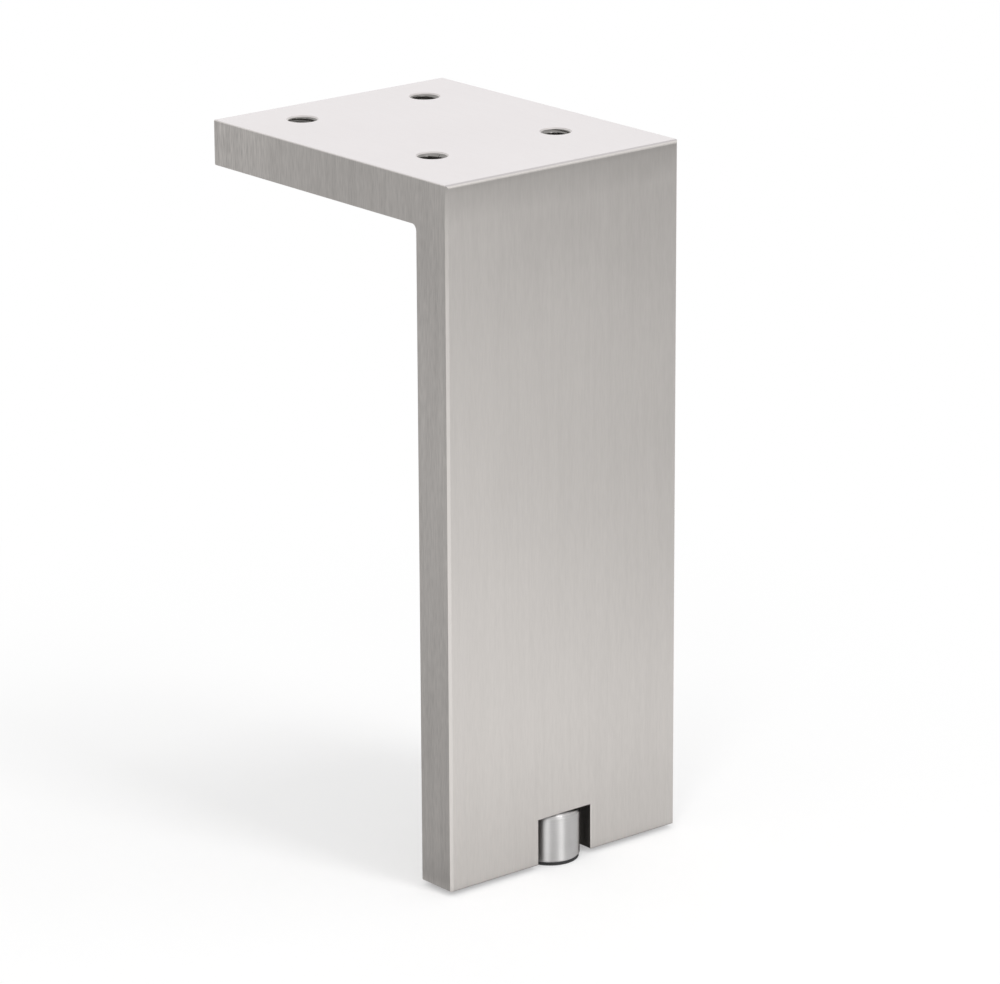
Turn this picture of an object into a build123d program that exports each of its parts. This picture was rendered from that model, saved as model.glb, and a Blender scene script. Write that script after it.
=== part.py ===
from build123d import *
from math import sqrt
import os

# Adjustable furniture leg: a solid L of metal with a levelling foot in its lower edge.
# Millimetres. The origin is the middle of the four tapped holes, on the mounting face.
# +Z is up, the leg's outer face looks towards -Y and the mounting arm runs back along +Y.

# The L
leg_width = 60.0            # across the leg, along X
arm_length = 75.0           # from the outer face to the arm's back end
leg_height = 146.3          # from the mounting face to the plate's lower edge
arm_thickness = 9.5
plate_thickness = 9.5
outer_corner_round = 0.8    # where the mounting face turns down into the outer face
profile_round = 0.3         # the side outline's other corners
side_round = 0.2            # round along both side faces' outlines
inner_round = 1.3           # fillet in the corner under the arm
upright_bevel = 0.5         # along the outer face's upright edges

# Tapped holes in the arm, and the levelling thread
thread_diameter = 6.0       # M6: holes are cut at the thread's outer diameter
hole_spacing_x = 32.0
hole_spacing_y = 42.0
hole_margin_back = 11.5     # from the back row of holes to the arm's back end
mouth_bevel = 0.3           # bevel at each threaded hole's mouth

# Notch in the lower edge, with the bore that goes on up from its ceiling
notch_width = 14.0
notch_height = 9.8
notch_break = 0.2           # small bevel where the notch comes out at the plate's faces
bore_depth = 28.0           # above the notch's ceiling

# Levelling foot: turned head, threaded stud and glide
head_diameter = 12.2
head_height = 9.8
head_bevel = 0.4
head_gap = 0.3              # between the notch's ceiling and the head, wound in as shown
stud_seat = 5.0             # how deep the stud sits in the head
stud_reach = 25.0           # stud above the head
stud_bevel = 0.7
socket_across_flats = 3.0   # hexagon socket in the stud's upper end
socket_depth = 3.5
glide_diameter = 11.8
glide_thickness = 0.7
glide_bevel = 0.2
stem_diameter = 4.0
stem_length = 2.6
stem_hole_spare = 0.4       # room above the stem
running_clearance = 0.05    # on the radius, wherever one round piece sits in another

# Places that follow from the sizes
hole_r = thread_diameter / 2
mouth_r = hole_r + mouth_bevel
outer_y = hole_margin_back + hole_spacing_y / 2 - arm_length    # the leg's outer face
foot_y = outer_y + plate_thickness / 2                          # the levelling foot's axis
lower_edge_z = -leg_height
notch_top_z = lower_edge_z + notch_height
head_top_z = notch_top_z - head_gap
head_bottom_z = head_top_z - head_height
stud_bottom_z = head_top_z - stud_seat
stud_top_z = head_top_z + stud_reach
glide_bottom_z = head_bottom_z - glide_thickness


def turned(outline):
    """Revolves an outline of (radius, height) points about the levelling foot's axis."""
    face = make_face(Plane.XZ * Polyline(*outline, close=True))
    return Pos(0, foot_y, 0) * revolve(face, Axis.Z)


def round_corners(face, corners, radius):
    """The face with the vertices nearest to the given points rounded."""
    picked = [face.vertices().sort_by_distance(corner)[0] for corner in corners]
    return fillet(picked, radius)


def l_profile():
    """Side outline of the leg: arm on top, plate in front, every corner rounded."""
    back_y = outer_y + arm_length
    inner_y = outer_y + plate_thickness
    outer_corner = (outer_y, 0)
    inner_corner = (inner_y, -arm_thickness)
    plain_corners = [
        (back_y, 0),
        (back_y, -arm_thickness),
        (inner_y, lower_edge_z),
        (outer_y, lower_edge_z),
    ]
    arm_end, plate_end = plain_corners[:2], plain_corners[2:]
    outline = Polyline(outer_corner, *arm_end, inner_corner, *plate_end, close=True)
    face = make_face(outline)
    face = round_corners(face, [inner_corner], inner_round)
    face = round_corners(face, [outer_corner], outer_corner_round)
    face = round_corners(face, plain_corners, profile_round)
    return Plane.YZ * face


def tapped_hole():
    """Cutter for a tapped hole through the arm, bevelled at both mouths."""
    hole = Pos(0, 0, -arm_thickness / 2) * Cylinder(hole_r, arm_thickness)
    upper_mouth = Pos(0, 0, -mouth_bevel / 2) * Cone(hole_r, mouth_r, mouth_bevel)
    lower_mouth = Pos(0, 0, mouth_bevel / 2 - arm_thickness) * Cone(mouth_r, hole_r, mouth_bevel)
    return hole + upper_mouth + lower_mouth


def levelling_bore():
    """Cutter for the threaded bore that the stud runs in, bevelled at the notch's ceiling."""
    bore = Pos(0, foot_y, notch_top_z + bore_depth / 2) * Cylinder(hole_r, bore_depth)
    mouth = Pos(0, foot_y, notch_top_z + mouth_bevel / 2) * Cone(mouth_r, hole_r, mouth_bevel)
    return bore + mouth


def cut_notch(plain):
    """The solid with the notch cut in its lower edge, and the cut's edges broken."""
    cutter = Pos(0, foot_y, lower_edge_z) * Box(notch_width, 2 * plate_thickness, 2 * notch_height)
    notched = plain - cutter
    return chamfer(new_edges(plain, cutter, combined=notched), notch_break)


def bevel_upright_edges(solid):
    """The solid with the outer face's two upright edges cut off at 45 degrees."""
    depth = sqrt(2) * upright_bevel
    for x in (-leg_width / 2, leg_width / 2):
        turn = 45 if x > 0 else -45
        cutter = Rot(0, 0, turn) * Box(2 * depth, depth, 2 * leg_height)
        solid -= Pos(x, outer_y, 0) * cutter
    return solid


def leg_bracket():
    """The L itself: rounded along its side faces, with the notch, the bore and the tapped holes."""
    solid = extrude(l_profile(), leg_width / 2, both=True)
    side_faces = solid.faces().filter_by(Axis.X)
    solid = fillet(side_faces.edges(), side_round)
    solid = bevel_upright_edges(solid)
    solid = cut_notch(solid)
    solid -= levelling_bore()
    for place in GridLocations(hole_spacing_x, hole_spacing_y, 2, 2):
        solid -= place * tapped_hole()
    return solid


def foot_head():
    """Turned head of the levelling foot, bevelled at both rims, drilled for the stud and the glide."""
    r = head_diameter / 2
    stem_hole_r = stem_diameter / 2 + running_clearance
    stem_hole_top = head_bottom_z + stem_length + stem_hole_spare
    return turned([
        (hole_r, head_top_z),
        (r - head_bevel, head_top_z),
        (r, head_top_z - head_bevel),
        (r, head_bottom_z + head_bevel),
        (r - head_bevel, head_bottom_z),
        (stem_hole_r, head_bottom_z),
        (stem_hole_r, stem_hole_top),
        (0, stem_hole_top),
        (0, stud_bottom_z),
        (hole_r, stud_bottom_z),
    ])


def foot_stud():
    """Headless screw locked in the head, with a hexagon socket in its upper end."""
    r = hole_r - running_clearance
    body = turned([
        (0, stud_bottom_z),
        (r - stud_bevel, stud_bottom_z),
        (r, stud_bottom_z + stud_bevel),
        (r, stud_top_z - stud_bevel),
        (r - stud_bevel, stud_top_z),
        (0, stud_top_z),
    ])
    hexagon = RegularPolygon(socket_across_flats / 2, 6, major_radius=False)
    socket = extrude(Pos(0, foot_y, stud_top_z) * hexagon, -socket_depth)
    return body - socket


def foot_glide():
    """Plastic glide: a thin disc under the head, with a stem that the head turns on."""
    r = glide_diameter / 2
    stem_r = stem_diameter / 2
    stem_top = head_bottom_z + stem_length
    return turned([
        (0, glide_bottom_z),
        (r - glide_bevel, glide_bottom_z),
        (r, glide_bottom_z + glide_bevel),
        (r, head_bottom_z),
        (stem_r, head_bottom_z),
        (stem_r, stem_top),
        (0, stem_top),
    ])


nodes = {
    "leg_bracket": leg_bracket(),
    "foot_head": foot_head(),
    "foot_stud": foot_stud(),
    "foot_glide": foot_glide(),
}

os.makedirs("parts", exist_ok=True)
for name, solid in nodes.items():
    export_step(solid, f"parts/{name}.step")
    print(name, round(solid.volume, 1), "mm3")
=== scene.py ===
import math

import bpy
from mathutils import Matrix, Vector


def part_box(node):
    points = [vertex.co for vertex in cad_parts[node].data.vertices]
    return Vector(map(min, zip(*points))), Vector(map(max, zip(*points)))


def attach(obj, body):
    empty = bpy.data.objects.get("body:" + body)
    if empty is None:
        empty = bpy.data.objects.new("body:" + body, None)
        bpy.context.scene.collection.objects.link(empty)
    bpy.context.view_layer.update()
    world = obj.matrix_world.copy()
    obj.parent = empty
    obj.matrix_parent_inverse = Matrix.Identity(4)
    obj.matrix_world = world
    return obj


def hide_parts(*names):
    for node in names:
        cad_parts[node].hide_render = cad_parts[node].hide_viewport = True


# Looks of the adjustable furniture leg: brushed metal, cut threads, turned foot, black glide.
# Metres, in the leg's own frame: +Z is up and the outer face looks towards -Y.

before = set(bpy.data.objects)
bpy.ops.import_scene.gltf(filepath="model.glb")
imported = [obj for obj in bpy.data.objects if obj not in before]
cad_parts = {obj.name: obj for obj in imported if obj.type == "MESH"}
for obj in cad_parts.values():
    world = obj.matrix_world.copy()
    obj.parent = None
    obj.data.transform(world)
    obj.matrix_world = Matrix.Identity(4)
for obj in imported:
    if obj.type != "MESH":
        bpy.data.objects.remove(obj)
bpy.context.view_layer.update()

MM = 0.001

# Sizes that the leg's metal already has
leg_low, leg_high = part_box("leg_bracket")
head_low, head_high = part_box("foot_head")
stud_low, stud_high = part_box("foot_stud")
floor_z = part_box("foot_glide")[0].z
foot_axis = ((head_low + head_high) / 2).to_2d()
arm_thickness = 9.5 * MM
notch_half = 7.1 * MM           # just beyond the notch's walls
notch_top_z = -136.3 * MM       # just above the notch's ceiling
hole_spacing_x = 32 * MM
hole_spacing_y = 42 * MM

# M6 thread, coarse pitch
thread_pitch = 1.0 * MM
thread_outer_r = 3.0 * MM
hole_thread_depth = 0.54 * MM
stud_thread_depth = 0.6102 * MM
mouth_r = 3.29 * MM             # a hair inside the bevel at each hole's mouth
sleeve_r = 3.02 * MM            # hidden in the leg's metal
sleeve_wall = 0.01 * MM
points_per_turn = 96
points_per_pitch = 16
hole_turns = (0.4, 2.1, 3.9, 5.2)       # where each hole's thread starts, in radians
stud_bevel = 0.7 * MM
stud_hub_r = 0.1 * MM           # small disc that closes each end of the stud
socket_across_flats = 3.0 * MM
socket_depth = 3.5 * MM
sharp_angle = math.radians(30)

# Base colours
plate_upright_colour = (0.659, 0.629, 0.603)
# The level faces take a darker copy of the metal's colour: painted shade on the top and the arm's underside
plate_level_shaded_colour = (0.583, 0.553, 0.555)
# Much darker than the plate: painted shade inside the tapped holes
thread_shaded_colour = (0.27, 0.26, 0.25)
head_colour = (0.74, 0.73, 0.725)
screw_colour = (0.56, 0.55, 0.54)
glide_colour = (0.022, 0.022, 0.023)
floor_colour = (0.99, 0.99, 0.99)

# Camera: where the photograph was taken from
photo_width = 1000
focal_pixels = 5003.5
camera_azimuth = -39.691
camera_elevation = 17.317
camera_roll = -0.269
camera_target = Vector((-22.29, -49.03, -61.76)) * MM
camera_distance = 982.6 * MM

# Studio
floor_half = 4.0
world_level = 0.76
gel_height = 0.2 * MM           # above the floor
gel_half = 1.2


def seen_rays(tree):
    """1 for the rays of the camera and of gloss and glass, 0 for the light that falls on things."""
    path = tree.nodes.new("ShaderNodeLightPath")
    seen = path.outputs["Is Camera Ray"]
    for ray in ("Is Glossy Ray", "Is Transmission Ray"):
        either = tree.nodes.new("ShaderNodeMath")
        either.operation = "MAXIMUM"
        tree.links.new(seen, either.inputs[0])
        tree.links.new(path.outputs[ray], either.inputs[1])
        seen = either.outputs[0]
    return seen


class Graph:
    """A new material's node tree, with short calls for the nodes used here."""

    def __init__(self, name):
        self.material = bpy.data.materials.new(name)
        self.material.use_nodes = True
        self.tree = self.material.node_tree
        self.shader = self.tree.nodes["Principled BSDF"]
        self.output = self.tree.nodes["Material Output"]

    def node(self, kind, **settings):
        made = self.tree.nodes.new(kind)
        for key, value in settings.items():
            setattr(made, key, value)
        return made

    def feed(self, socket, value):
        """Links another node's output to the socket, or sets a plain value on it."""
        if isinstance(value, bpy.types.NodeSocket):
            self.tree.links.new(value, socket)
        else:
            socket.default_value = value

    def coordinates(self, kind):
        return self.node("ShaderNodeTexCoord").outputs[kind]

    def split(self, vector):
        node = self.node("ShaderNodeSeparateXYZ")
        self.feed(node.inputs[0], vector)
        return node.outputs

    def join(self, x, y, z):
        node = self.node("ShaderNodeCombineXYZ")
        for socket, value in zip(node.inputs, (x, y, z)):
            self.feed(socket, value)
        return node.outputs[0]

    def vector(self, operation, a, b=None):
        node = self.node("ShaderNodeVectorMath", operation=operation)
        self.feed(node.inputs[0], a)
        if b is not None:
            self.feed(node.inputs[1], b)
        return node.outputs["Value" if operation in ("LENGTH", "DOT_PRODUCT") else "Vector"]

    def math(self, operation, first, *others):
        """The operation on the first value and each of the others in turn."""
        result = first
        for value in others or (0.0,):
            node = self.node("ShaderNodeMath", operation=operation)
            self.feed(node.inputs[0], result)
            self.feed(node.inputs[1], value)
            result = node.outputs[0]
        return result

    def noise(self, vector, scale=1.0, detail=2.0):
        node = self.node("ShaderNodeTexNoise")
        self.feed(node.inputs["Vector"], vector)
        node.inputs["Scale"].default_value = scale
        node.inputs["Detail"].default_value = detail
        return node.outputs["Fac"]

    def ramp(self, value, low, high, start=0.0, end=1.0, smooth=False):
        """Goes from start to end while the value goes from low to high."""
        node = self.node("ShaderNodeMapRange", interpolation_type="SMOOTHSTEP" if smooth else "LINEAR")
        for socket, given in zip(node.inputs, (value, low, high, start, end)):
            self.feed(socket, given)
        return node.outputs[0]

    def vary(self, noise, start, end):
        """Goes from start to end over the range that a noise mostly keeps to."""
        return self.ramp(noise, 0.3, 0.7, start, end)

    def steps(self, value, start, changes):
        """Begins at start, and changes by an amount over each (low, high, amount) of the value."""
        total = start
        for low, high, amount in changes:
            total = self.math("ADD", total, self.ramp(value, low, high, end=amount))
        return total

    def levelness(self, normal):
        """0 on upright faces and 1 on level ones."""
        return self.ramp(self.math("ABSOLUTE", self.split(normal)[2]), 0.6, 0.8)

    def mix(self, factor, a, b):
        """From vector a to vector b. The node keeps vectors in inputs 4 and 5 and output 1."""
        node = self.node("ShaderNodeMix", data_type="VECTOR")
        self.feed(node.inputs[0], factor)
        self.feed(node.inputs[4], a)
        self.feed(node.inputs[5], b)
        return node.outputs[1]

    def shade(self, colour, amount):
        """The colour times a number that varies over the surface."""
        return self.vector("MULTIPLY", colour, self.join(amount, amount, amount))

    def bump(self, height, distance):
        node = self.node("ShaderNodeBump")
        self.feed(node.inputs["Height"], height)
        node.inputs["Distance"].default_value = distance
        self.feed(self.shader.inputs["Normal"], node.outputs[0])

    def tangent(self, direction):
        self.feed(self.shader.inputs["Tangent"], direction)

    def metal(self, colour, roughness, anisotropic):
        self.feed(self.shader.inputs["Base Color"], colour)
        self.feed(self.shader.inputs["Roughness"], roughness)
        self.shader.inputs["Metallic"].default_value = 1.0
        self.shader.inputs["Anisotropic"].default_value = anisotropic


def brushed_plate():
    """Satin metal, brushed upright on the upright faces and along the arm on the level ones."""
    g = Graph("brushed_plate")
    position = g.coordinates("Object")
    x, y, z = g.split(position)
    normal = g.coordinates("Normal")
    normal_x, normal_y, normal_z = g.split(normal)
    level = g.levelness(normal)

    def along_grain(width, length):
        """Noise drawn out along the grain, with strokes of about that width and length."""
        upright = g.vector("MULTIPLY", position, (1 / width, 1 / width, 1 / length))
        flat = g.vector("MULTIPLY", position, (1 / width, 1 / length, 1 / width))
        return g.noise(g.mix(level, upright, flat), detail=1.0)

    strokes = along_grain(0.3 * MM, 3.0 * MM)
    streaks = along_grain(1.1 * MM, 30 * MM)
    clouds = g.noise(position, scale=38, detail=3)

    # Grain: faint on the level faces, strong on the side faces, most of all at the arm's back end
    sideways = g.ramp(g.math("ABSOLUTE", normal_x), 0.8, 0.9)
    arm_end = g.math("MULTIPLY", sideways, g.ramp(y, 5 * MM, 25 * MM, smooth=True))
    strength = g.math("ADD", g.ramp(sideways, 0.0, 1.0, 1.0, 3.2), g.math("MULTIPLY", arm_end, 3.0))
    grain = g.math("ADD", g.vary(strokes, -0.022, 0.022), g.vary(streaks, -0.012, 0.012))
    grain = g.math("MULTIPLY", grain, g.ramp(level, 0.0, 1.0, 1.0, 0.5), strength)
    # Painted light: the side faces are lighter towards the arm's back end
    painted_light_arm_end = g.math("MULTIPLY", arm_end, 0.12)
    tone = g.math("ADD", grain, painted_light_arm_end, g.vary(clouds, -0.015, 0.015), 1.0)

    # Painted highlight on the bevels along the outer face's upright edges, fading into painted shade near
    # their tops
    bevel = g.math("ABSOLUTE", g.math("MULTIPLY", normal_x, normal_y))
    bevel_painted_light = g.ramp(bevel, 0.4, 0.48, 1.0, g.ramp(z, -25 * MM, -2 * MM, 1.17, 0.95))

    # Painted shade: the outer face is darker just under the mounting face
    outer = g.math("MULTIPLY", g.ramp(normal_y, -0.6, -0.5, 1.0, 0.0), g.ramp(normal_z, 0.3, 0.7, 1.0, 0.0))
    painted_shade_under_top = g.math("MULTIPLY", outer, g.steps(z, 0.0, [(-8 * MM, 0.0, 0.16), (-2 * MM, 0.0, 0.1)]))
    outer_painted_shade = g.math("SUBTRACT", 1.0, painted_shade_under_top)

    # Painted shade: the notch's walls and ceiling are darkened
    between_walls = g.math("LESS_THAN", g.math("ABSOLUTE", x), notch_half)
    under_ceiling = g.math("LESS_THAN", z, notch_top_z)
    inward = g.math("LESS_THAN", g.math("ABSOLUTE", normal_y), 0.5)
    notch_painted_shade = g.ramp(g.math("MULTIPLY", between_walls, under_ceiling, inward), 0.0, 1.0, 1.0, 0.35)

    tone = g.math("MULTIPLY", tone, bevel_painted_light, outer_painted_shade, notch_painted_shade)
    # Painted shade: the level faces get the darker copy of the colour
    colour = g.mix(level, plate_upright_colour, plate_level_shaded_colour)
    roughness = g.math("ADD", g.vary(strokes, -0.02, 0.02), g.vary(clouds, 0.30, 0.34))
    g.metal(g.shade(colour, tone), roughness, anisotropic=0.5)
    brushed_along = g.mix(level, (0, 0, 1), (0, 1, 0))
    g.tangent(g.vector("CROSS_PRODUCT", brushed_along, normal))
    g.bump(strokes, distance=1e-6)
    return g.material


def cut_thread():
    """Cut thread, coloured darker as painted shade inside the tapped holes, with fine marks that run round
    with the tool.
    """
    g = Graph("cut_thread")
    position = g.coordinates("Object")
    marks = g.noise(g.vector("MULTIPLY", position, (300, 300, 14000)), detail=2)
    clouds = g.noise(position, scale=900, detail=2)
    tone = g.math("ADD", g.vary(marks, -0.08, 0.08), g.vary(clouds, 0.9, 1.0))
    g.metal(g.shade(thread_shaded_colour, tone), g.vary(clouds, 0.24, 0.36), anisotropic=0.0)
    g.bump(marks, distance=3e-6)
    return g.material


def turned_metal():
    """Bright turned metal, with rings left by the tool round the foot's axis."""
    g = Graph("turned_metal")
    position = g.coordinates("Object")
    x, y, z = g.split(g.vector("SUBTRACT", position, (foot_axis.x, foot_axis.y, 0)))
    from_axis = g.join(x, y, 0.0)
    rings = g.noise(g.join(0.0, g.vector("LENGTH", from_axis), z), scale=9000, detail=2)
    clouds = g.noise(position, scale=260, detail=3)
    tone = g.math("ADD", g.vary(rings, -0.03, 0.03), g.vary(clouds, 0.97, 1.02))
    g.metal(g.shade(head_colour, tone), g.vary(clouds, 0.57, 0.61), anisotropic=1.0)
    level = g.levelness(g.coordinates("Normal"))
    g.tangent(g.mix(level, (0, 0, 1), g.vector("NORMALIZE", from_axis)))
    g.bump(rings, distance=1.2e-6)
    return g.material


def screw_metal():
    """The stud's rolled thread: plain bright steel with slight smudges."""
    g = Graph("screw_metal")
    position = g.coordinates("Object")
    smudges = g.noise(position, scale=500, detail=3)
    marks = g.noise(g.vector("MULTIPLY", position, (500, 500, 9000)), detail=2)
    tone = g.math("ADD", g.vary(marks, -0.04, 0.04), g.vary(smudges, 0.94, 1.02))
    g.metal(g.shade(screw_colour, tone), g.vary(smudges, 0.2, 0.32), anisotropic=0.0)
    g.bump(marks, distance=2e-6)
    return g.material


def glide_plastic():
    """Black plastic with a fine moulded grain."""
    g = Graph("glide_plastic")
    position = g.coordinates("Object")
    grain = g.noise(position, scale=5200, detail=2)
    wear = g.noise(position, scale=420, detail=3)
    g.feed(g.shader.inputs["Base Color"], g.shade(glide_colour, g.vary(wear, 0.8, 1.3)))
    g.feed(g.shader.inputs["Roughness"], g.vary(wear, 0.42, 0.58))
    g.bump(grain, distance=6e-6)
    return g.material


def pale_floor():
    """Plain pale sheet under the leg, lifted towards white where it is looked at.

    The part of its own light that is kept shows the leg's shadow. It is largest under the arm, smaller
    behind the leg and nothing far from the leg."""
    g = Graph("pale_floor")
    position = g.coordinates("Object")
    x, y, _ = g.split(position)
    paper = g.noise(position, scale=60, detail=3)
    g.feed(g.shader.inputs["Base Color"], g.shade(floor_colour, g.vary(paper, 0.995, 1.0)))
    g.shader.inputs["Roughness"].default_value = 0.9
    g.shader.inputs["Specular IOR Level"].default_value = 0.1

    # Painted shadow strength: the floor keeps the most of its own shade under the arm and less behind the
    # leg
    behind = g.vector("DOT_PRODUCT", position, (0.64, 0.77, 0.0))
    painted_shadow_under_arm = g.math(
        "MULTIPLY",
        g.ramp(y, -50 * MM, -30 * MM),
        g.ramp(y, 30 * MM, 70 * MM, 1.0, 0.0),
        g.ramp(x, 20 * MM, 50 * MM, 0.25, 0.0),
    )
    kept = g.math("ADD", g.ramp(behind, 20 * MM, 90 * MM, 0.52, 0.15), painted_shadow_under_arm)
    from_origin = g.vector("LENGTH", position)
    kept = g.math("MULTIPLY", kept, g.ramp(from_origin, 165 * MM, 260 * MM, 1.0, 0.0, smooth=True))

    white = g.node("ShaderNodeEmission")
    lifted = g.node("ShaderNodeMixShader")
    g.feed(lifted.inputs[0], g.math("MULTIPLY", seen_rays(g.tree), g.math("SUBTRACT", 1.0, kept)))
    g.feed(lifted.inputs[1], g.shader.outputs[0])
    g.feed(lifted.inputs[2], white.outputs[0])
    g.feed(g.output.inputs["Surface"], lifted.outputs[0])
    return g.material


def grey_gel():
    """Clear sheet with soft greys, which darken what the leg's bright faces mirror of the floor.

    The higher a point of an upright face is, the further from the leg lies the floor that it mirrors.
    So a grey at a distance gives the face its tone at a height. Distances are in metres."""
    g = Graph("reflection_gel")
    position = g.coordinates("Object")
    x, y, _ = g.split(position)

    # Behind and to the left, which the side face mirrors
    outwards = g.math("SUBTRACT", leg_low.x, x)
    backwards = g.math("SUBTRACT", y, leg_low.y)
    turned_back = g.math("DIVIDE", backwards, g.math("MAXIMUM", outwards, 4 * MM))
    side_greys = [(0.0, 0.009, -0.1), (0.01, 0.025, 0.08), (0.06, 0.26, -0.16), (0.265, 0.295, 0.25)]
    side = g.math(
        "MULTIPLY",
        g.steps(outwards, 0.54, side_greys),
        g.ramp(turned_back, -0.3, 0.6, smooth=True),
        g.ramp(outwards, 0.0, 4 * MM),
        g.ramp(outwards, 0.47, 0.87, 1.0, 0.0, smooth=True),
    )

    # Ahead, which the outer face mirrors: lighter at the left and darker at the right
    ahead = g.vector("DOT_PRODUCT", position, (0.637, -0.771, 0.0))
    across = g.vector("DOT_PRODUCT", position, (0.771, 0.637, 0.0))
    front_greys = [(0.02, 0.12, -0.19), (0.17, 0.31, 0.145), (0.33, 0.42, -0.08), (0.445, 0.52, 0.32)]
    left_to_right = g.math(
        "MULTIPLY",
        g.ramp(across, -0.127, 0.073, -0.35, 0.38),
        g.ramp(ahead, 0.3, 0.45, 1.0, 0.5),
        g.ramp(ahead, 0.04, 0.15, 0.5, 1.0),
    )
    front = g.math("ADD", g.steps(ahead, 0.22, front_greys), left_to_right)
    front = g.math("MULTIPLY", front, g.ramp(y, -0.05, 0.0, 1.0, 0.0, smooth=True))

    # Ahead and to the left, far off, which the bevel between the two faces mirrors near its top
    leftwards = g.vector("DOT_PRODUCT", position, (-0.77, -0.64, 0.0))
    corner = g.math("MULTIPLY", g.ramp(leftwards, 0.377, 0.482, 0.0, 0.3), g.ramp(x, -0.15, -0.05, 1.0, 0.0))

    # Right beside the plate, which the faces mirror at their foot
    past_sides = g.math("SUBTRACT", g.math("ABSOLUTE", x), leg_high.x)
    past_faces = g.math("ABSOLUTE", g.math("SUBTRACT", y, foot_axis.y))
    past_faces = g.math("SUBTRACT", past_faces, foot_axis.y - leg_low.y)
    beside_plate = g.ramp(g.math("MAXIMUM", past_sides, past_faces), 0.0, 3 * MM, 0.55, 1.0)

    clear = g.math("MINIMUM", g.math("SUBTRACT", 1.0, side, front), 1.0)
    clear = g.math("MULTIPLY", clear, g.math("SUBTRACT", 1.0, corner), beside_plate)
    sheet = g.node("ShaderNodeBsdfTransparent")
    g.feed(sheet.inputs["Color"], g.join(clear, clear, clear))
    g.feed(g.output.inputs["Surface"], sheet.outputs[0])
    g.tree.nodes.remove(g.shader)
    return g.material


def new_piece(name, points, faces, material):
    """A mesh piece with smooth shading between its sharp edges."""
    mesh = bpy.data.meshes.new(name)
    mesh.from_pydata(points, [], faces)
    mesh.validate()
    mesh.shade_smooth()
    mesh.set_sharp_from_angle(angle=sharp_angle)
    mesh.materials.append(material)
    piece = bpy.data.objects.new(name, mesh)
    bpy.context.scene.collection.objects.link(piece)
    return piece


def thread_wave(phase):
    """0 on the flat at the thread's outer diameter, 1 on the flat at its inner one."""
    outer_flat, inner_flat = 1 / 8, 1 / 4
    flank = (1 - outer_flat - inner_flat) / 2
    from_middle = abs((phase % 1.0) - 0.5)
    return min(1.0, max(0.0, (0.5 - outer_flat / 2 - from_middle) / flank))


def ring(r, z):
    """One loop of points about the Z axis. r and z are numbers, or functions of the angle."""
    made = []
    for i in range(points_per_turn):
        angle = 2 * math.pi * i / points_per_turn
        reach = r(angle) if callable(r) else r
        height = z(angle) if callable(z) else z
        made.append(Vector((reach * math.cos(angle), reach * math.sin(angle), height)))
    return made


def skin(rings, closed=False):
    """Points and faces of a surface through the rings, which run upwards on its outer side."""
    points = [p for loop in rings for p in loop]
    faces = []
    n = points_per_turn
    count = len(rings)
    for k in range(count if closed else count - 1):
        lower, upper = k * n, ((k + 1) % count) * n
        for i in range(n):
            j = (i + 1) % n
            faces.append((lower + i, lower + j, upper + j, upper + i))
    return points, faces


def thread_rings(bottom, top, radius_at):
    """Rings that follow the helix from the bottom to the top, pressed flat at both ends."""
    steps = math.ceil((top - bottom) / thread_pitch * points_per_pitch) + 2 * points_per_pitch
    rings = []
    for k in range(steps + 1):
        def height(angle, k=k):
            climb = (k / points_per_pitch - 1 + angle / (2 * math.pi)) * thread_pitch
            return min(top, max(bottom, bottom + climb))

        def radius(angle, height=height):
            z = height(angle)
            return radius_at(z, thread_wave((z - bottom) / thread_pitch - angle / (2 * math.pi)))

        rings.append(ring(radius, height))
    return rings


def hole_thread(name, place, turn, material):
    """Internal thread that lines one tapped hole, cut back by the bevel at both mouths."""
    skip = mouth_r - sleeve_r
    top, bottom = -skip, -arm_thickness + skip

    def radius_at(z, wave):
        depth = min(-z, z + arm_thickness)
        cut = thread_outer_r - hole_thread_depth * wave
        return min(sleeve_r, max(cut, mouth_r - depth))

    inner = thread_rings(bottom, top, radius_at)
    outer = [ring(sleeve_r + sleeve_wall, top), ring(sleeve_r + sleeve_wall, bottom)]
    points, faces = skin(list(reversed(inner)) + list(reversed(outer)), closed=True)
    piece = new_piece(name, points, faces, material)
    piece.matrix_world = Matrix.Translation((*place, 0)) @ Matrix.Rotation(turn, 4, "Z")
    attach(piece, "bracket")


def stud_thread(material):
    """The levelling stud: rolled thread, bevelled ends and a hexagon socket in the upper end."""
    outer_r = (stud_high.x - stud_low.x) / 2
    bottom, top = stud_low.z, stud_high.z
    end_r = outer_r - stud_bevel

    def radius_at(z, wave):
        from_end = min(z - bottom, top - z)
        return min(outer_r - stud_thread_depth * wave, end_r + from_end)

    def hexagon(angle):
        return socket_across_flats / 2 / math.cos((angle % (math.pi / 3)) - math.pi / 6)

    rings = [ring(stud_hub_r, bottom), *thread_rings(bottom, top, radius_at)]
    rings += [ring(hexagon, top), ring(hexagon, top - socket_depth), ring(stud_hub_r, top - socket_depth)]
    points, faces = skin(rings)
    last = len(points) - points_per_turn
    faces.append(tuple(reversed(range(points_per_turn))))
    faces.append(tuple(range(last, len(points))))
    piece = new_piece("stud_thread", points, faces, material)
    piece.location = (foot_axis.x, foot_axis.y, 0)
    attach(piece, "foot")
    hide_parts("foot_stud")


def dress(node, material):
    """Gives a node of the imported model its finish."""
    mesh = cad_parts[node].data
    mesh.materials.clear()
    mesh.materials.append(material)


def area_light(name, place, aim, size, power):
    """A soft rectangular lamp. Metres and watts."""
    lamp = bpy.data.lights.new(name, "AREA")
    lamp.shape = "RECTANGLE"
    lamp.size, lamp.size_y = size
    lamp.energy = power
    light = bpy.data.objects.new(name, lamp)
    light.location = place
    light.rotation_euler = (Vector(aim) - Vector(place)).to_track_quat("-Z", "Y").to_euler()
    bpy.context.scene.collection.objects.link(light)


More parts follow.
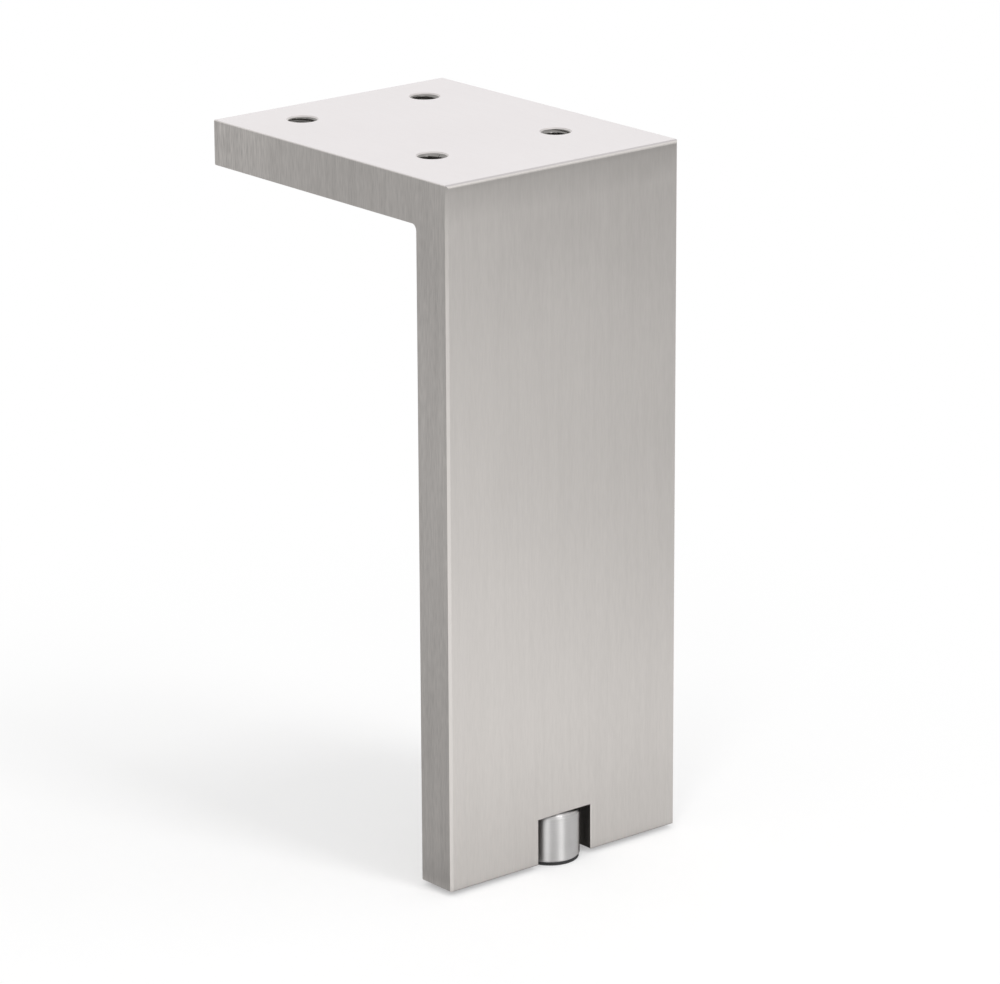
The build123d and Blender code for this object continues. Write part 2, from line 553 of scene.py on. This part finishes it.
def soft_world():
    """White where the camera, gloss or glass sees it, and a plain soft level elsewhere."""
    world = bpy.data.worlds.new("soft_world")
    bpy.context.scene.world = world
    world.use_nodes = True
    tree = world.node_tree
    strength = tree.nodes.new("ShaderNodeMapRange")
    strength.inputs["To Min"].default_value = world_level
    strength.inputs["To Max"].default_value = 1.0
    tree.links.new(seen_rays(tree), strength.inputs["Value"])
    background = tree.nodes["Background"]
    background.inputs["Color"].default_value = (1, 1, 1, 1)
    tree.links.new(strength.outputs[0], background.inputs["Strength"])


def ground_sheet(name, half, z, material):
    """A level square for the studio."""
    corners = [(-half, -half, z), (half, -half, z), (half, half, z), (-half, half, z)]
    sheet = new_piece(name, corners, [(0, 1, 2, 3)], material)
    return sheet


def reflection_gel():
    """A grey gel over the floor that only gloss sees, as a studio darkens one side of bright metal."""
    gel = ground_sheet("reflection_gel", gel_half, floor_z + gel_height, grey_gel())
    gel.visible_camera = gel.visible_diffuse = gel.visible_shadow = False
    gel.visible_transmission = gel.visible_volume_scatter = False


def photo_camera():
    """A camera where the photograph was taken from, with its angle of view."""
    a, e, r = (math.radians(x) for x in (camera_azimuth, camera_elevation, camera_roll))
    back = Vector((math.sin(a) * math.cos(e), -math.cos(a) * math.cos(e), math.sin(e)))
    level_right = Vector((math.cos(a), math.sin(a), 0))
    level_up = back.cross(level_right)
    right = math.cos(r) * level_right + math.sin(r) * level_up
    up = math.cos(r) * level_up - math.sin(r) * level_right
    lens = bpy.data.cameras.new("camera")
    lens.lens = focal_pixels / photo_width * lens.sensor_width
    camera = bpy.data.objects.new("camera", lens)
    turned = Matrix((right, up, back)).transposed().to_4x4()
    camera.matrix_world = Matrix.Translation(camera_target + back * camera_distance) @ turned
    bpy.context.scene.collection.objects.link(camera)
    bpy.context.scene.camera = camera


# Metal, threads, foot and glide
dress("leg_bracket", brushed_plate())
dress("foot_head", turned_metal())
dress("foot_glide", glide_plastic())
thread_finish = cut_thread()
hole_places = [(x * hole_spacing_x / 2, y * hole_spacing_y / 2) for y in (-1, 1) for x in (-1, 1)]
for number, (place, turn) in enumerate(zip(hole_places, hole_turns), 1):
    hole_thread(f"hole_thread_{number}", place, turn, thread_finish)
stud_thread(screw_metal())

# Floor, light and camera
bpy.context.scene.view_settings.view_transform = "Standard"
soft_world()
area_light("key", place=(0.2, -1.15, 0.95), aim=(0, 0, -0.1), size=(0.35, 1.1), power=6.2)
area_light("fill", place=(-0.76, -0.62, 0.55), aim=(0, foot_axis.y, head_low.z), size=(0.22, 0.8), power=2.4)
area_light("top_glow", place=(0.8, 0.95, 0.5), aim=(0, 0, 0), size=(1.0, 0.5), power=0.75)
ground_sheet("floor", floor_half, floor_z, pale_floor())
reflection_gel()
photo_camera()
